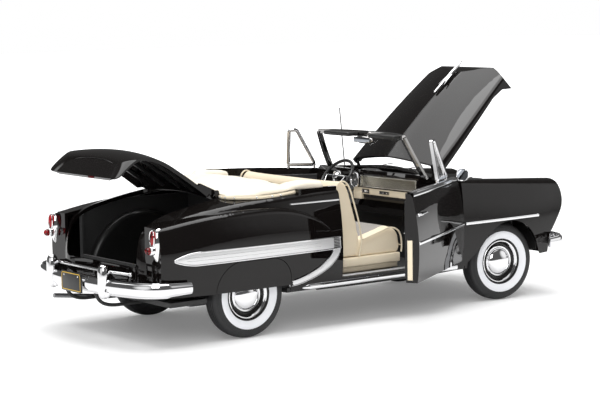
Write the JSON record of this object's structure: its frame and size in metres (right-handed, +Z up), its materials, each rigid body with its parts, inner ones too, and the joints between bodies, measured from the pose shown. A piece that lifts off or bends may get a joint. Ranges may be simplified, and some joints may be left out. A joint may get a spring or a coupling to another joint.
{
  "type": "1:18 scale model of a 1950s convertible car",
  "caption": "Die-cast style scale model of a 1950s convertible car with opening doors, hood and trunk lid, steering front wheels and rolling wheels.",
  "frame": {"origin": "On the floor below the middle of the model's bounding box.", "axes": "+X is forward, +Y is to the car's left, +Z is up."},
  "size_m": [0.276, 0.1862, 0.1233],
  "materials": {
    "body_paint": "deep gloss black enamel",
    "bright_plating": "bright chrome plating",
    "wheel_chrome": "bright chrome plating on a turned disc",
    "clear_glass": "clear polished",
    "red_lens": "clear red, polished",
    "cream_vinyl": "cream vinyl, soft satin",
    "door_trim": "black trim with a cream strip",
    "black_plastic": "satin black",
    "black_carpet": "flocked black carpet",
    "chassis_black": "semi-matt black",
    "steel_parts": "plain steel",
    "tyre_rubber": "black rubber with a white sidewall band",
    "plate_yellow": "yellow and black, blank"
  },
  "bodies": {
    "body": {"air_cleaner": "chassis_black", "antenna": "steel_parts", "body_shell": "body_paint", "chassis_pan": "chassis_black", "dashboard": "black_plastic", "engine": "chassis_black", "exhaust": "steel_parts", "front_bumper": "bright_plating", "front_seat": "cream_vinyl", "front_suspension": "steel_parts", "gauges": "wheel_chrome", "grille": "bright_plating", "header_fittings": "bright_plating", "headlamp_bezels": "bright_plating", "headlamp_lenses": "clear_glass", "inner_fenders": "chassis_black", "interior_tub": "black_carpet", "licence_plate": "plate_yellow", "radiator": "chassis_black", "rear_axle": "steel_parts", "rear_bumper": "bright_plating", "rear_seat": "cream_vinyl", "rear_skirts": "body_paint", "rocker_strips": "bright_plating", "side_trim": "bright_plating", "steering_column": "black_plastic", "tail_lamp_housings": "bright_plating", "tail_lamp_lenses": "red_lens", "top_boot": "cream_vinyl", "trunk_tub": "black_carpet", "windshield_frame": "bright_plating", "windshield_glass": "clear_glass"},
    "hood": {"hood_panel": "body_paint", "hood_ornament": "bright_plating"},
    "trunk_lid": {"trunk_panel": "body_paint", "trunk_handle": "bright_plating"},
    "right_door": {"right_door_brightwork": "bright_plating", "right_door_panel": "body_paint", "right_door_trim": "door_trim", "right_door_vent_glass": "clear_glass"},
    "left_door": {"left_door_brightwork": "bright_plating", "left_door_panel": "body_paint", "left_door_trim": "door_trim", "left_door_vent_glass": "clear_glass"},
    "steering_wheel": {"steering_wheel": "black_plastic"},
    "right_knuckle": {"front_right_knuckle": "steel_parts"},
    "left_knuckle": {"front_left_knuckle": "steel_parts"},
    "front_right_wheel": {"front_right_tyre": "tyre_rubber", "front_right_wheel": "wheel_chrome"},
    "front_left_wheel": {"front_left_tyre": "tyre_rubber", "front_left_wheel": "wheel_chrome"},
    "rear_right_wheel": {"rear_right_tyre": "tyre_rubber", "rear_right_wheel": "wheel_chrome"},
    "rear_left_wheel": {"rear_left_tyre": "tyre_rubber", "rear_left_wheel": "wheel_chrome"}
  },
  "joints": [
    {"name": "hood_hinge", "type": "hinge", "parent": "body", "child": "hood", "pos_m": [0.048, 0, 0.0663], "axis": [0, -1, 0], "range_deg": [-46.4, 0]},
    {"name": "trunk_hinge", "type": "hinge", "parent": "body", "child": "trunk_lid", "pos_m": [-0.0765, 0, 0.0679], "axis": [0, 1, 0], "range_deg": [-45, 0]},
    {"name": "right_door_hinge", "type": "hinge", "parent": "body", "child": "right_door", "pos_m": [0.061, -0.0506, 0.045], "axis": [0, 0, 1], "range_deg": [-32, 0]},
    {"name": "left_door_hinge", "type": "hinge", "parent": "body", "child": "left_door", "pos_m": [0.061, 0.0506, 0.045], "axis": [0, 0, -1], "range_deg": [-32, 0]},
    {"name": "left_steer", "type": "hinge", "parent": "body", "child": "left_knuckle", "pos_m": [0.0931, 0.035, 0.0201], "axis": [0, 0, 1], "range_deg": [-14.5, 25.5]},
    {"name": "right_steer", "type": "hinge", "parent": "body", "child": "right_knuckle", "pos_m": [0.0931, -0.035, 0.0201], "axis": [0, 0, 1], "range_deg": [-14.5, 25.5]},
    {"name": "steering_wheel_turn", "type": "hinge", "parent": "body", "child": "steering_wheel", "pos_m": [0.0335, 0.018, 0.0645], "axis": [-0.7593, 0, 0.6508], "range_deg": [-58, 102]},
    {"name": "front_right_spin", "type": "hinge", "parent": "right_knuckle", "child": "front_right_wheel", "pos_m": [0.09262, -0.03998, 0.0201], "axis": [0.0958, 0.9954, 0], "continuous": true},
    {"name": "front_left_spin", "type": "hinge", "parent": "left_knuckle", "child": "front_left_wheel", "pos_m": [0.09358, 0.03998, 0.0201], "axis": [0.0958, 0.9954, 0], "continuous": true},
    {"name": "rear_right_spin", "type": "hinge", "parent": "body", "child": "rear_right_wheel", "pos_m": [-0.0692, -0.0415, 0.0201], "axis": [0, 1, 0], "continuous": true},
    {"name": "rear_left_spin", "type": "hinge", "parent": "body", "child": "rear_left_wheel", "pos_m": [-0.0692, 0.0415, 0.0201], "axis": [0, 1, 0], "continuous": true}
  ],
  "couplings": [
    {"joint": "right_steer", "follows": "left_steer", "ratio": 1},
    {"joint": "steering_wheel_turn", "follows": "left_steer", "ratio": 4}
  ]
}
